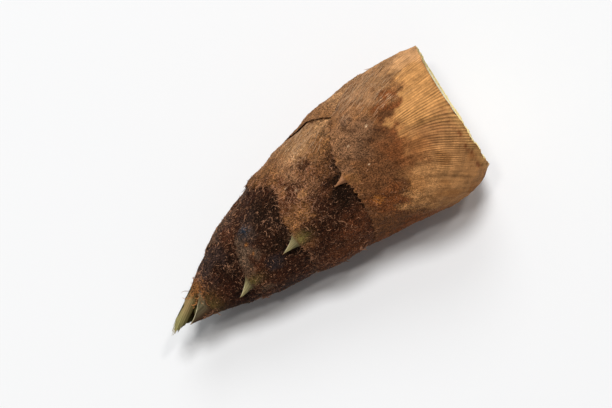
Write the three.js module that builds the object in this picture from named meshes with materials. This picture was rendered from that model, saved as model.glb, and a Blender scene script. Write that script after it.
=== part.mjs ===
// A cut bamboo shoot, lying on its belly: a solid heart wrapped in nine husk leaves.
// Millimetres. +X runs along the shoot from the tip to the cut, +Z is up, z = 0 is the ground.
import * as THREE from 'three';

// Whole shoot
const tipAt = new THREE.Vector3(-103.72, 1.17, 19.4); // where the axis starts, before the tip curls up
const cutLength = 202;     // from the tip to the cut, along the axis
const cutSlopeSide = 0.149; // the knife went in at a slant: length gained per mm sideways
const cutSlopeUp = -0.086;  // and per mm upwards
const restTilt = 8.5;      // degrees that the straight axis climbs from the tip to the cut
const bow = 5.0;           // how far the middle of the axis bends aside
const bowSkew = -2.2;      // above 0 bends more near the cut, below 0 more near the tip
const bowSide = 0.92;      // share of the bend that goes sideways
const bowUp = 0.385;       // share of the bend that goes up
const tipLift = 18;        // how far the tip curls up off the straight axis
const liftReach = 110;     // distance from the tip where the curl starts
const liftSide = -0.12;    // sideways share of the curl
const bellySoftness = 1.0; // mm over which the flattened belly turns up into the round sides
const facing = 111;        // degrees from the side (+Y) up and over to the row of leaf blades

// Radius of the bundle at distances from the tip
const outline = [
  [0, 0.5], [10, 4.3], [22, 9.2], [38, 15.9], [58, 24.0], [72, 28.0], [86, 31.4],
  [110, 37.1], [126, 40.7], [140, 42.8], [171, 45.2], [186, 43.2], [196, 40.8], [215, 36.2],
];

// Fuller and flatter places on that outline: distance from the tip, half size along, middle in degrees
// from the row of blades, and millimetres added to the radius
const bulges = [
  [48, 12, -65, 1.9], [76, 16, -65, 1.2], [133, 18, -65, -3.8], [176, 15, -65, 2.8], [205, 20, -159, -6.0],
];

// Which leaf, counted from outside, lies on that outline at distances from the tip
const coverOrder = [[0, 9], [26, 8], [52, 6], [90, 4], [130, 2], [150, 1.3], [170, 1], [215, 1]];

// Husk leaves
const layerPitch = 1.0;    // from one leaf to the next inside it, at the top of the shoot
const wrapPitch = 0.72;    // what a leaf spirals inwards in one turn, so that its margins overlap
const clearance = 0.44;    // air between two leaves at the top of the shoot
const margin = 190;        // degrees from a leaf's middle to its margin
const hugging = 14;        // mm over which a leaf sinks onto what lies below it where the next leaf ends
const bladeColumns = [-2, -1.5, -1, -0.55, -0.25, 0, 0.25, 0.55, 1, 1.5, 2]; // across it, in half widths
const columnStep = 12;     // degrees between the columns that all the leaves share
const leafRows = 14;       // rows from the top edge to the foot

// middle: degrees of the leaf's middle line from the row of blades, positive to the side.
// collar: distance of its top edge from the tip, at the blade. left, right: how much farther back
// the edge lies on the far side of the shoot. foot: where it grows from the heart, if above the cut.
// blade: length. half: half its width. taper: under 1 for a strap, 1 for straight sides, more for a thorn.
// fall: its drop towards the axis per mm of length. lean: how far its point swings to the right.
// dent: where the top edge steps back beside the blade, in degrees from the middle, half size and depth.
// strap: 1 if it keeps the width of its root in millimetres while the shoot narrows.
const leaves = [
  {
    middle: 14, collar: 129, left: 100, right: -22,
    blade: 7.5, half: 1.7, taper: 1.9, fall: 0.1, lean: 0.5, color: 0xaf7e4d,
  },
  {
    middle: 168, collar: 100, left: 40, right: 72,
    blade: 12, half: 3, taper: 2.6, fall: 0.15, lean: 1, color: 0xa27a53,
  },
  {
    middle: -6, collar: 87.5, left: -6, right: -8, dent: [54, 19, 9],
    blade: 11, half: 2.7, taper: 2.1, fall: 0.12, lean: 1.6, color: 0x795332,
  },
  {
    middle: 150, collar: 70, left: 30, right: 100,
    blade: 14, half: 3.8, taper: 2.6, fall: 0.2, lean: 1, color: 0x62402a,
  },
  {
    middle: -18, collar: 52, left: 36, right: -4, foot: 190,
    blade: 10.5, half: 2.4, taper: 1.7, fall: 0.2, lean: 4, color: 0x47332b,
  },
  {
    middle: 150, collar: 38, left: 20, right: 28, foot: 180,
    blade: 12, half: 3.5, taper: 2.4, fall: 0.3, lean: 1, color: 0x43322b,
  },
  {
    middle: -18, collar: 25, left: 10, right: 6, foot: 162,
    blade: 16, half: 5.4, taper: 1.5, fall: 0.36, lean: 2.2, color: 0x574f3b,
  },
  {
    middle: 44, collar: 22, left: 9, right: 9, foot: 152,
    blade: 23, half: 2.0, taper: 0.16, fall: 0.27, lean: 4.2, strap: 1, color: 0x8b825d,
  },
  {
    middle: -140, collar: 13, left: 3, right: 3, foot: 142,
    blade: 7, half: 3.0, taper: 0.8, fall: 0.3, lean: 0, color: 0x6f6a42,
  },
];

// Heart
const heartTip = 15;       // where the heart starts, from the tip of the shoot
const heartColumns = 30;
const heartColor = 0xe6d3a0;

const degrees = Math.PI / 180;
const alongAxis = new THREE.Vector3(Math.cos(restTilt * degrees), 0, Math.sin(restTilt * degrees));
const sideways = new THREE.Vector3(0, 1, 0);
const upwards = new THREE.Vector3(-alongAxis.z, 0, alongAxis.x);

// A smooth curve through [x, y] points, level at neither end.
function curveThrough(points, x) {
  const last = points.length - 1;
  let i = 0;
  while (i < last - 1 && x > points[i + 1][0]) {
    i += 1;
  }
  const slope = (j) => {
    const before = points[Math.max(j - 1, 0)];
    const after = points[Math.min(j + 1, last)];
    return (after[1] - before[1]) / (after[0] - before[0]);
  };
  const [x0, y0] = points[i];
  const [x1, y1] = points[i + 1];
  const h = x1 - x0;
  const s = (THREE.MathUtils.clamp(x, points[0][0], points[last][0]) - x0) / h;
  const fromFirst = (1 + 2 * s) * (1 - s) * (1 - s) * y0 + s * (1 - s) * (1 - s) * h * slope(i);
  const fromSecond = s * s * (3 - 2 * s) * y1 + s * s * (s - 1) * h * slope(i + 1);
  return fromFirst + fromSecond;
}

// Leaves are thin at their tops and thicker towards their feet.
function thickening(t) {
  return 1 + 0.25 * THREE.MathUtils.smoothstep(t, 50, 130) + 0.55 * THREE.MathUtils.smoothstep(t, 130, 205);
}

// Distance of a leaf's top edge from the tip, without its blade, at degrees from its middle line.
function shoulder(leaf, turned) {
  const back = turned > 0 ? leaf.left : leaf.right;
  const rounded = Math.max(Math.abs(turned) - 150, 0) / 40;
  const [dentMiddle, dentWidth, dentDepth] = leaf.dent ?? [0, 1, 0];
  const dented = dentDepth * Math.exp(-(((turned - dentMiddle) / dentWidth) ** 2));
  return leaf.collar + (back * (1 - Math.cos(turned * degrees))) / 2 + 18 * rounded * rounded + dented;
}

// The same at an angle from the row of blades, by the margin that reaches farther up.
function edgeAt(leaf, angle) {
  const turned = THREE.MathUtils.euclideanModulo(angle - leaf.middle + 180, 360) - 180;
  const fromOtherMargin = turned > 0 ? turned - 360 : turned + 360;
  const overlapped = Math.abs(fromOtherMargin) <= margin ? shoulder(leaf, fromOtherMargin) : Infinity;
  return Math.min(shoulder(leaf, turned), overlapped);
}

// Radius of leaf number k at distance t from the tip, turned by degrees from its middle line, with
// every leaf stacked on the next.
function stackedRadius(k, t, turned) {
  const inwards = layerPitch * (k - curveThrough(coverOrder, t)) + (wrapPitch * turned) / 360;
  return curveThrough(outline, t) - thickening(t) * inwards;
}

// The same, sunk by one layer where the next leaf doesn't reach up under this one.
function layerRadius(k, t, turned) {
  if (k >= leaves.length) {
    return stackedRadius(k, t, turned);
  }
  const nextEdge = edgeAt(leaves[k], leaves[k - 1].middle + turned);
  const sunk = 1 - THREE.MathUtils.smoothstep(t, nextEdge - hugging, nextEdge - 2);
  return stackedRadius(k + sunk, t, turned);
}

function leafThickness(t) {
  return thickening(t) * (layerPitch - wrapPitch / 2 - clearance);
}

// A point at distance t, angle from the row of blades and radius from the bent axis. Where the
// shoot's weight presses its belly on the ground, the layers lie flat on one another.
function pointAt(t, angle, radius) {
  const share = t / 209;
  const bend = bow * 4 * share * (1 - share) * (1 + bowSkew * (share - 0.5));
  const turn = (facing - angle) * degrees;
  let fuller = radius;
  bulges.forEach(([middleT, size, middleAngle, amount]) => {
    const towards = Math.max(Math.cos((angle - middleAngle) * degrees), 0);
    fuller += amount * towards * towards * Math.exp(-(((t - middleT) / size) ** 2));
  });
  const side = bend * bowSide + fuller * Math.cos(turn);
  const up = bend * bowUp + fuller * Math.sin(turn);
  const point = tipAt.clone();
  point.addScaledVector(alongAxis, t);
  point.addScaledVector(sideways, side);
  point.addScaledVector(upwards, up);
  const lift = tipLift * Math.max(1 - t / liftReach, 0) ** 2;
  point.y += lift * liftSide;
  point.z += lift;
  const turnedOutermost = THREE.MathUtils.euclideanModulo(angle - leaves[0].middle + margin, 360) - margin;
  const depth = stackedRadius(1, t, turnedOutermost) - radius;
  const height = Math.max(point.z - depth, 0);
  point.z = depth + (height * height) / (height + bellySoftness);
  return { point, side, up };
}

// Distance of the slanted cut from the tip, on a line with this angle and radius.
function cutDistance(angle, radius) {
  let t = cutLength;
  for (let step = 0; step < 4; step += 1) {
    const { side, up } = pointAt(t, angle, radius);
    t = cutLength + cutSlopeSide * side + cutSlopeUp * up;
  }
  return t;
}

// Columns of a leaf, in degrees from its middle: close together across the blade, and elsewhere in
// line with those of the other leaves, so that flat facets lie on flat facets.
function columnAngles(leaf) {
  const halfWidth = leaf.half / curveThrough(outline, leaf.collar) / degrees;
  const across = bladeColumns.map((width) => width * halfWidth);
  // The outermost leaf is opened by the cut before its left margin closes.
  const leftEnd = leaf.collar + leaf.left > cutLength ? 120 : margin;
  const shared = [];
  for (let angle = -360; angle <= 360; angle += columnStep) {
    const turned = angle - leaf.middle;
    if (Math.abs(turned) > across[across.length - 1] + 3 && turned >= -margin && turned <= leftEnd) {
      shared.push(turned);
    }
  }
  return [...shared, ...across].sort((a, b) => a - b);
}

// A husk leaf: a thin closed shell, from its top edge with the blade down to its foot.
function makeLeaf(leaf, k) {
  const angles = columnAngles(leaf);
  const halfWidth = leaf.half / curveThrough(outline, leaf.collar) / degrees;
  const shell = new THREE.BoxGeometry(1, 1, 1, angles.length - 1, leafRows, 1);
  const position = shell.attributes.position;
  for (let i = 0; i < position.count; i += 1) {
    const turned = angles[Math.round((position.getX(i) + 0.5) * (angles.length - 1))];
    const down = 0.5 - position.getY(i);
    const outside = position.getZ(i) > 0;
    const edge = shoulder(leaf, turned);
    const bladeHere = leaf.blade * Math.max(1 - Math.abs(turned) / halfWidth / 2, 0) ** leaf.taper;
    const top = edge - bladeHere;
    const footAngle = leaf.middle + turned;
    const footRadius = layerRadius(k, cutLength, turned) - (outside ? 0 : leafThickness(cutLength));
    const foot = leaf.foot ?? cutDistance(footAngle, footRadius);
    const t = top + (foot - top) * (0.6 * down + 0.4 * down * down);
    const outOnBlade = Math.max(edge - t, 0);
    const besideBlade = Math.exp(-((turned / halfWidth / 1.6) ** 2));
    const standOff = 1.1 * Math.exp(-Math.max(t - edge, 0) / 7) * besideBlade;
    const outer = layerRadius(k, Math.max(t, edge), turned) - leaf.fall * outOnBlade + standOff;
    const radius = outside ? outer : outer - leafThickness(Math.max(t, edge));
    const swing = (leaf.lean * (outOnBlade / leaf.blade)) / Math.max(radius, 3) / degrees;
    const rootRadius = layerRadius(k, leaf.collar, 0);
    const kept = (leaf.strap ?? 0) * THREE.MathUtils.smoothstep(outOnBlade, 0, 3);
    const widened = kept * turned * (rootRadius / Math.max(outer, 2) - 1);
    const { point } = pointAt(t, footAngle - swing + widened, radius);
    position.setXYZ(i, point.x, point.y, point.z);
  }
  shell.computeVertexNormals();
  const material = new THREE.MeshStandardMaterial({ color: leaf.color, roughness: 0.85, metalness: 0 });
  const mesh = new THREE.Mesh(shell, material);
  mesh.name = `husk_leaf_${k}`;
  return mesh;
}

// The heart: solid, with a ring step wherever an inner leaf grows out of it.
function makeHeart() {
  const heartRadius = (t) => {
    const covering = leaves.filter((leaf) => !leaf.foot || leaf.foot > t).length;
    return Math.max(layerRadius(covering + 1, t, 90), 0);
  };
  const feet = leaves.filter((leaf) => leaf.foot).map((leaf) => leaf.foot + clearance);
  const rings = [];
  for (let t = heartTip + 1.5; t < 192; t += 9) {
    rings.push([heartRadius(t), t]);
  }
  feet.forEach((t) => rings.push([heartRadius(t - 1), t - 0.01], [heartRadius(t + 0.01), t]));
  rings.sort((a, b) => a[1] - b[1] || a[0] - b[0]);
  const profile = [[0, heartTip], ...rings, [heartRadius(cutLength), cutLength], [0, cutLength]];
  const outlinePoints = profile.reverse().map(([radius, t]) => new THREE.Vector2(radius, t));
  const solid = new THREE.LatheGeometry(outlinePoints, heartColumns);
  const position = solid.attributes.position;
  for (let i = 0; i < position.count; i += 1) {
    let radius = Math.hypot(position.getX(i), position.getZ(i));
    let t = position.getY(i);
    const angle = Math.atan2(position.getX(i), position.getZ(i)) / degrees;
    if (t > cutLength - 0.001) {
      radius *= heartRadius(cutDistance(angle, radius)) / heartRadius(cutLength);
      t = cutDistance(angle, radius);
    }
    const { point } = pointAt(t, angle, radius);
    position.setXYZ(i, point.x, point.y, point.z);
  }
  solid.computeVertexNormals();
  const material = new THREE.MeshStandardMaterial({ color: heartColor, roughness: 0.6, metalness: 0 });
  const mesh = new THREE.Mesh(solid, material);
  mesh.name = 'shoot_heart';
  return mesh;
}

const shoot = new THREE.Group();
shoot.name = 'bamboo_shoot';
shoot.add(makeHeart());
leaves.forEach((leaf, index) => shoot.add(makeLeaf(leaf, index + 1)));

export default shoot;
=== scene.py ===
# A cut bamboo shoot lying on its belly: a solid heart wrapped in nine husk leaves with bristles on them.
import bpy
import numpy as np
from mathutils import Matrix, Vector


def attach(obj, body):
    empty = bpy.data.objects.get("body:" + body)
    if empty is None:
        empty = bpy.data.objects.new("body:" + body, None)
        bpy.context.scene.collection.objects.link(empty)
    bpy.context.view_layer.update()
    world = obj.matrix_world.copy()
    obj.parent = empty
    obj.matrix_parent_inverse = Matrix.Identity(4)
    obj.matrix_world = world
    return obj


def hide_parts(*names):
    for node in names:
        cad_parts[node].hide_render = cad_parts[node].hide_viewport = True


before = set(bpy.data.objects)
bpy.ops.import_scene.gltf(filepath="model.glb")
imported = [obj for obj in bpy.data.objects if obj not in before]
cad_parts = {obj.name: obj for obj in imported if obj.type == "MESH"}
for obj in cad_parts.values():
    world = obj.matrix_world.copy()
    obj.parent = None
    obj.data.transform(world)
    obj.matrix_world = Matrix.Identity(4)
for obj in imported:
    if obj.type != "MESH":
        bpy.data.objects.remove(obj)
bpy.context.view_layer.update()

# The shoot as a whole, in millimetres and degrees. Distances t run along the axis from the tip to the cut.
shoot = dict(
    tip=(-103.72, 1.17, 19.4),  # where the axis starts
    cutLength=202.0, cutSlopeSide=0.149, cutSlopeUp=-0.086,
    axisLength=209.0, restTilt=8.5,
    bow=5.0, bowSkew=-2.2, bowSide=0.92, bowUp=0.385,  # how far the axis bends out, most before its middle
    facing=111.0,  # from the side up and over to the row of blades
    bellySoftness=1.0,
    outline=[(0, 0.5), (10, 4.3), (22, 9.2), (38, 15.9), (58, 24.0), (72, 28.0), (86, 31.4),
             (110, 37.1), (126, 40.7), (140, 42.8), (171, 45.2), (186, 43.2), (196, 40.8), (215, 36.2)],
    coverOrder=[(0, 9), (26, 8), (52, 6), (90, 4), (130, 2), (150, 1.3), (170, 1), (215, 1)],
    layerPitch=1.0, wrapPitch=0.72, margin=190.0,  # the step from leaf to leaf, and a leaf's own in one turn
    hugging=14.0,  # over this length a leaf sinks on to the layer inside it
    tipLift=18.0, liftReach=110.0, liftSide=-0.12,  # the tip curves up off the table
    # fuller and flatter places: distance, half size along, degrees from the blades, millimetres
    bulges=[(48, 12, -65, 1.9), (76, 16, -65, 1.2), (133, 18, -65, -3.8), (176, 15, -65, 2.8),
            (205, 20, -159, -6.0)],
)

# Husk leaves from the outside in, in millimetres and degrees. The top edge is highest at the middle, lies at
# collar from the tip there and falls back by left and right on its two sides. Foot is where the leaf grows
# out of the heart, or None at the cut, and leftEnd where its one margin ends. The blade is that long, with a
# half width of half, narrows by taper, falls inwards by fall and leans sideways at its point by lean.
# Columns and rows are the fineness of the mesh, rowEven its spread.
leaves = [
    dict(middle=14, collar=129, left=100, right=-22, foot=None, leftEnd=120,
         blade=7.5, half=1.7, taper=1.9, fall=0.1, lean=0.5, columns=540, rows=92, rowEven=0.9),
    dict(middle=168, collar=100, left=40, right=72, foot=None, leftEnd=190,
         blade=12, half=3, taper=2.6, fall=0.15, lean=1, columns=300, rows=48, rowEven=0.4),
    dict(middle=-6, collar=87.5, left=-6, right=-8, foot=None, leftEnd=190, dent=(54, 19, 9),
         blade=11, half=2.7, taper=2.1, fall=0.12, lean=1.6, columns=420, rows=76, rowEven=0.35),
    dict(middle=150, collar=70, left=30, right=100, foot=None, leftEnd=190,
         blade=14, half=3.8, taper=2.6, fall=0.2, lean=1, columns=260, rows=44, rowEven=0.3),
    dict(middle=-18, collar=52, left=36, right=-4, foot=190, leftEnd=190,
         blade=10.5, half=2.4, taper=1.7, fall=0.2, lean=4, columns=340, rows=64, rowEven=0.3),
    dict(middle=150, collar=38, left=20, right=28, foot=180, leftEnd=190,
         blade=12, half=3.5, taper=2.4, fall=0.3, lean=1, columns=220, rows=40, rowEven=0.25),
    dict(middle=-18, collar=25, left=10, right=6, foot=162, leftEnd=190,
         blade=16, half=5.4, taper=1.5, fall=0.36, lean=2.2, columns=260, rows=56, rowEven=0.2),
    dict(middle=44, collar=22, left=9, right=9, foot=152, leftEnd=190,
         blade=23, half=2.0, taper=0.16, fall=0.27, lean=4.2, widen=1, columns=260, rows=56, rowEven=0.2),
    dict(middle=-140, collar=13, left=3, right=3, foot=142, leftEnd=190,
         blade=7, half=3.0, taper=0.8, fall=0.3, lean=0, columns=140, rows=36, rowEven=0.2),
]


def smoothStep(x, low, high):  # 0 below low, 1 above high, an S curve between
    s = np.clip((x - low) / (high - low), 0, 1)
    return s * s * (3 - 2 * s)


def curveThrough(points, x):  # cubics through the points; the slope at each is that between its neighbours
    px, py = np.array(points, float).T
    slope = np.empty_like(py)
    slope[1:-1] = (py[2:] - py[:-2]) / (px[2:] - px[:-2])
    slope[0] = (py[1] - py[0]) / (px[1] - px[0])
    slope[-1] = (py[-1] - py[-2]) / (px[-1] - px[-2])
    x = np.clip(x, px[0], px[-1])
    i = np.clip(np.searchsorted(px, x, side="left") - 1, 0, len(px) - 2)
    h = px[i + 1] - px[i]
    s = (x - px[i]) / h
    first = (1 + 2 * s) * (1 - s) ** 2 * py[i] + s * (1 - s) ** 2 * h * slope[i]
    return first + s * s * (3 - 2 * s) * py[i + 1] + s * s * (s - 1) * h * slope[i + 1]


def waves(size, seed, *axes):  # soft random field of spread 1: plane waves about size long, added up
    chance = np.random.default_rng(seed)
    ways = chance.normal(size=(18, len(axes)))
    ways *= (chance.uniform(0.6, 1.7, 18) * 2 * np.pi / size / np.linalg.norm(ways, axis=1))[:, None]
    phases = chance.uniform(0, 2 * np.pi, 18)
    total = 0
    for way, phase in zip(ways, phases):
        total = total + np.sin(sum(a * w for a, w in zip(axes, way)) + phase)
    return total / 3


def spot(t, angle, spotT, spotAngle, sizeT, sizeAngle):  # a soft bump of height 1 at a place on the shoot
    return np.exp(-((t - spotT) / sizeT) ** 2 - ((angle - spotAngle) / sizeAngle) ** 2)


def thickening(t):  # leaves are thin at their tops and thicker at their feet
    return 1 + 0.25 * smoothStep(t, 50, 130) + 0.55 * smoothStep(t, 130, 205)


def shoulder(leaf, turned):
    # distance of the top edge from the tip, without the blade: a cosine falling back from the middle, and
    # faster past 150 degrees where the margin is rounded
    back = np.where(turned > 0, leaf["left"], leaf["right"])
    rounded = np.maximum(np.abs(turned) - 150, 0) / 40
    middle, width, depth = leaf.get("dent", (0, 1, 0))
    dent = depth * np.exp(-((turned - middle) / width) ** 2)
    return leaf["collar"] + back * (1 - np.cos(np.radians(turned))) / 2 + 18 * rounded ** 2 + dent


def edgeAt(leaf, angle):  # the same at an angle round the shoot, by the margin that reaches farther up
    turned = np.mod(angle - leaf["middle"] + 180, 360) - 180
    other = np.where(turned > 0, turned - 360, turned + 360)
    overlapped = np.where(np.abs(other) <= shoot["margin"], shoulder(leaf, other), 1e6)
    return np.minimum(shoulder(leaf, turned), overlapped)


def coverEdge(k, angle):  # top edge of whichever outer leaf reaches farthest over leaf k
    if k == 1:
        return np.full(np.shape(angle), shoot["cutLength"] + 30.0)
    return np.minimum.reduce([edgeAt(leaf, angle) for leaf in leaves[:k - 1]])


def stackedRadius(k, t, turned):  # the outline, less one pitch a layer, spiralling inwards round the turn
    inwards = shoot["layerPitch"] * (k - curveThrough(shoot["coverOrder"], t))
    inwards = inwards + shoot["wrapPitch"] * turned / 360
    return curveThrough(shoot["outline"], t) - thickening(t) * inwards


def layerRadius(k, t, turned):  # sunk by one layer where the next leaf doesn't reach up under this one
    if k >= len(leaves):
        return stackedRadius(k, t, turned)
    nextEdge = edgeAt(leaves[k], leaves[k - 1]["middle"] + turned)
    sunk = 1 - smoothStep(t, nextEdge - shoot["hugging"], nextEdge - 2)
    return stackedRadius(k + sunk, t, turned)


def pointAt(t, angle, radius):  # polar place round the bent and tilted axis, flattened where the belly rests
    t, angle, radius = np.broadcast_arrays(t, angle, radius)
    fuller = radius
    for bulgeT, size, middle, amount in shoot["bulges"]:
        facingIt = np.maximum(np.cos(np.radians(angle - middle)), 0) ** 2
        fuller = fuller + amount * facingIt * np.exp(-((t - bulgeT) / size) ** 2)
    share = t / shoot["axisLength"]
    bend = shoot["bow"] * 4 * share * (1 - share) * (1 + shoot["bowSkew"] * (share - 0.5))
    turn = np.radians(shoot["facing"] - angle)
    side = bend * shoot["bowSide"] + fuller * np.cos(turn)
    up = bend * shoot["bowUp"] + fuller * np.sin(turn)
    tilt = np.radians(shoot["restTilt"])
    x = shoot["tip"][0] + t * np.cos(tilt) - up * np.sin(tilt)
    y = shoot["tip"][1] + side
    z = shoot["tip"][2] + t * np.sin(tilt) + up * np.cos(tilt)
    lift = shoot["tipLift"] * np.maximum(1 - t / shoot["liftReach"], 0) ** 2
    y = y + lift * shoot["liftSide"]
    z = z + lift
    outermost = np.mod(angle - leaves[0]["middle"] + shoot["margin"], 360) - shoot["margin"]
    depth = stackedRadius(1, t, outermost) - radius
    height = np.maximum(z - depth, 0)
    z = depth + height ** 2 / (height + shoot["bellySoftness"])
    return np.stack([x, y, z], -1), side, up


def cutDistance(angle, radius):  # where a line along the shoot meets the slanted cut, found in four steps
    angle, radius = np.broadcast_arrays(angle, radius)
    t = np.full(angle.shape, shoot["cutLength"])
    for _ in range(4):
        side, up = pointAt(t, angle, radius)[1:]
        t = shoot["cutLength"] + shoot["cutSlopeSide"] * side + shoot["cutSlopeUp"] * up
    return t


def srgb(*rgb):  # a colour as it is seen, 0 to 255, to the linear light that shaders use
    c = np.array(rgb, float) / 255
    return np.where(c <= 0.04045, c / 12.92, ((c + 0.055) / 1.055) ** 2.4)


def mixed(base, color, amount):  # blends color into base, point by point
    return base + (np.asarray(color) - base) * np.clip(amount, 0, 1)[..., None]


def makePiece(name, points, faces, material, colors, values=None, uv=None):
    # points in millimetres, faces as arrays of equal polygons, a colour and further values for each point
    mesh = bpy.data.meshes.new(name)
    mesh.vertices.add(len(points))
    mesh.vertices.foreach_set("co", (points * 0.001).astype(np.float32).ravel())
    corners = np.concatenate([f.ravel() for f in faces])
    sizes = np.concatenate([np.full(len(f), f.shape[1]) for f in faces])
    mesh.loops.add(len(corners))
    mesh.loops.foreach_set("vertex_index", corners.astype(np.int32))
    mesh.polygons.add(len(sizes))
    mesh.polygons.foreach_set("loop_start", (np.cumsum(sizes) - sizes).astype(np.int32))
    mesh.polygons.foreach_set("use_smooth", np.ones(len(sizes), bool))
    mesh.update(calc_edges=True)
    rgba = np.ones((len(points), 4), np.float32)
    rgba[:, :3] = colors
    mesh.color_attributes.new("tint", "FLOAT_COLOR", "POINT").data.foreach_set("color", rgba.ravel())
    for key, value in (values or {}).items():
        layer = mesh.attributes.new(key, "FLOAT", "POINT")
        layer.data.foreach_set("value", value.astype(np.float32).ravel())
    if uv is not None:
        mesh.uv_layers.new(name="fibre").data.foreach_set("uv", uv[corners].astype(np.float32).ravel())
    mesh.materials.append(material)
    piece = bpy.data.objects.new(name, mesh)
    bpy.context.scene.collection.objects.link(piece)
    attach(piece, "root")
    return piece


# Materials
def newMaterial(name):  # a material with a bare principled shader
    material = bpy.data.materials.new(name)
    material.use_nodes = True
    return material, material.node_tree, material.node_tree.nodes["Principled BSDF"]


def addNode(tree, kind, inputs=None, **settings):  # inputs by name: a socket is linked, a value is set
    node = tree.nodes.new("ShaderNode" + kind)
    for key, value in settings.items():
        setattr(node, key, value)
    for key, value in (inputs or {}).items():
        if isinstance(value, bpy.types.NodeSocket):
            tree.links.new(value, node.inputs[key])
        else:
            node.inputs[key].default_value = value
    return node.outputs


def ranged(tree, value, low, high, start=0.0, end=1.0):  # start to end becomes low to high
    inputs = {"Value": value, "From Min": start, "From Max": end, "To Min": low, "To Max": high}
    return addNode(tree, "MapRange", inputs)[0]


def calculated(tree, operation, first, second=0.5):  # one step of arithmetic
    return addNode(tree, "Math", {0: first, 1: second}, operation=operation)[0]


def fadedIn(tree, amount, value):  # 1 where the amount is 0, the value where it is 1
    return addNode(tree, "Mix", {"Factor": amount, "A": 1.0, "B": value}, data_type="FLOAT")[0]


def attribute(tree, name, output="Fac"):  # a value painted on the mesh
    return addNode(tree, "Attribute", attribute_name=name)[output]


def bumped(tree, strength, distance, height, normal=None):  # on top of an earlier bump's normal
    inputs = {"Strength": strength, "Distance": distance, "Height": height}
    if normal is not None:
        inputs["Normal"] = normal
    return addNode(tree, "Bump", inputs)["Normal"]


huskLook = dict(
    groove=(0.62, 1.28), speck=(0.45, 1.65), patch=(0.82, 1.2), streak=(0.78, 1.25), curl=(0.62, 1.9),
    roughness=(0.62, 0.92), gloss=0.06, curlNoises=((380, 1.2), (560, 0.5)), curlWidth=0.07,
    fibreScale=(3.2, 1.1, 1),
)


def huskMaterial():
    # the painted tint, times painted shade in the grooves between the fibres and painted highlight on their
    # ridges, specks, soft patches, streaks along the fibres and curly hairs, thin lines where a noise passes
    # its middle value; the same fields raise the bumps
    material, tree, shader = newMaterial("dryHusk")
    place = addNode(tree, "TexCoord")["Object"]
    fibre = addNode(tree, "UVMap", uv_map="fibre")[0]
    tint = attribute(tree, "tint", "Color")
    veins = attribute(tree, "veins")
    felt = attribute(tree, "felt")
    fur = attribute(tree, "fur")

    def noise(vector, scale, detail, **inputs):
        return addNode(tree, "TexNoise", {"Vector": vector, "Scale": scale, "Detail": detail, **inputs})[0]

    curls = []
    for scale, distortion in huskLook["curlNoises"]:
        field = noise(place, scale, 1, Distortion=distortion)
        fromMiddle = calculated(tree, "ABSOLUTE", calculated(tree, "SUBTRACT", field))
        curls.append(ranged(tree, fromMiddle, 1.0, 0.0, end=huskLook["curlWidth"]))
    curl = calculated(tree, "MAXIMUM", *curls)
    fineGrain = noise(place, 1500, 1, Roughness=0.5)
    wideGrain = noise(place, 620, 2, Roughness=0.7, Distortion=1.5)
    grain = addNode(tree, "Mix", {"Factor": 0.4, "A": fineGrain, "B": wideGrain}, data_type="FLOAT")[0]
    clumps = noise(place, 330, 3, Roughness=0.6, Distortion=0.6)
    stretched = addNode(tree, "Mapping", {"Vector": fibre, "Scale": huskLook["fibreScale"]})[0]
    streaks = noise(stretched, 1.0, 5, Roughness=0.62)
    ridgeInputs = {"Vector": fibre, "Scale": 0.5, "Distortion": 1.2, "Detail": 2, "Detail Scale": 0.35}
    ridgeKind = dict(wave_type="BANDS", bands_direction="X", wave_profile="SIN")
    ridge = addNode(tree, "TexWave", ridgeInputs, **ridgeKind)["Fac"]
    # painted shade in the grooves and painted highlight on the ridges, as strong as the veins attribute
    shade = fadedIn(tree, veins, ranged(tree, ridge, *huskLook["groove"], end=0.6))
    factors = [
        fadedIn(tree, felt, ranged(tree, grain, *huskLook["speck"], start=0.42, end=0.58)),
        fadedIn(tree, felt, ranged(tree, clumps, *huskLook["patch"], start=0.3, end=0.7)),
        ranged(tree, streaks, *huskLook["streak"], start=0.3, end=0.7),
        fadedIn(tree, fur, ranged(tree, curl, *huskLook["curl"])),
    ]
    for factor in factors:
        shade = calculated(tree, "MULTIPLY", shade, factor)
    color = addNode(tree, "VectorMath", {0: tint, "Scale": shade}, operation="SCALE")[0]
    bump = bumped(tree, 1.0, 0.0007, calculated(tree, "MULTIPLY", grain, felt))
    bump = bumped(tree, 0.7, 0.0003, streaks, bump)
    bump = bumped(tree, 1.0, 0.0003, calculated(tree, "MULTIPLY", curl, fur), bump)
    bump = bumped(tree, 0.8, 0.0003, calculated(tree, "MULTIPLY", ridge, veins), bump)
    tree.links.new(color, shader.inputs["Base Color"])
    tree.links.new(ranged(tree, clumps, *huskLook["roughness"]), shader.inputs["Roughness"])
    tree.links.new(bump, shader.inputs["Normal"])
    shader.inputs["Specular IOR Level"].default_value = huskLook["gloss"]
    return material


fleshLook = dict(bundleScale=700, cloudScale=90, dots=(0.72, 1.0), cloud=(0.86, 1.08), roughness=0.55,
                 glow=0.15, glowRadius=(0.002, 0.001, 0.0005))


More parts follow.
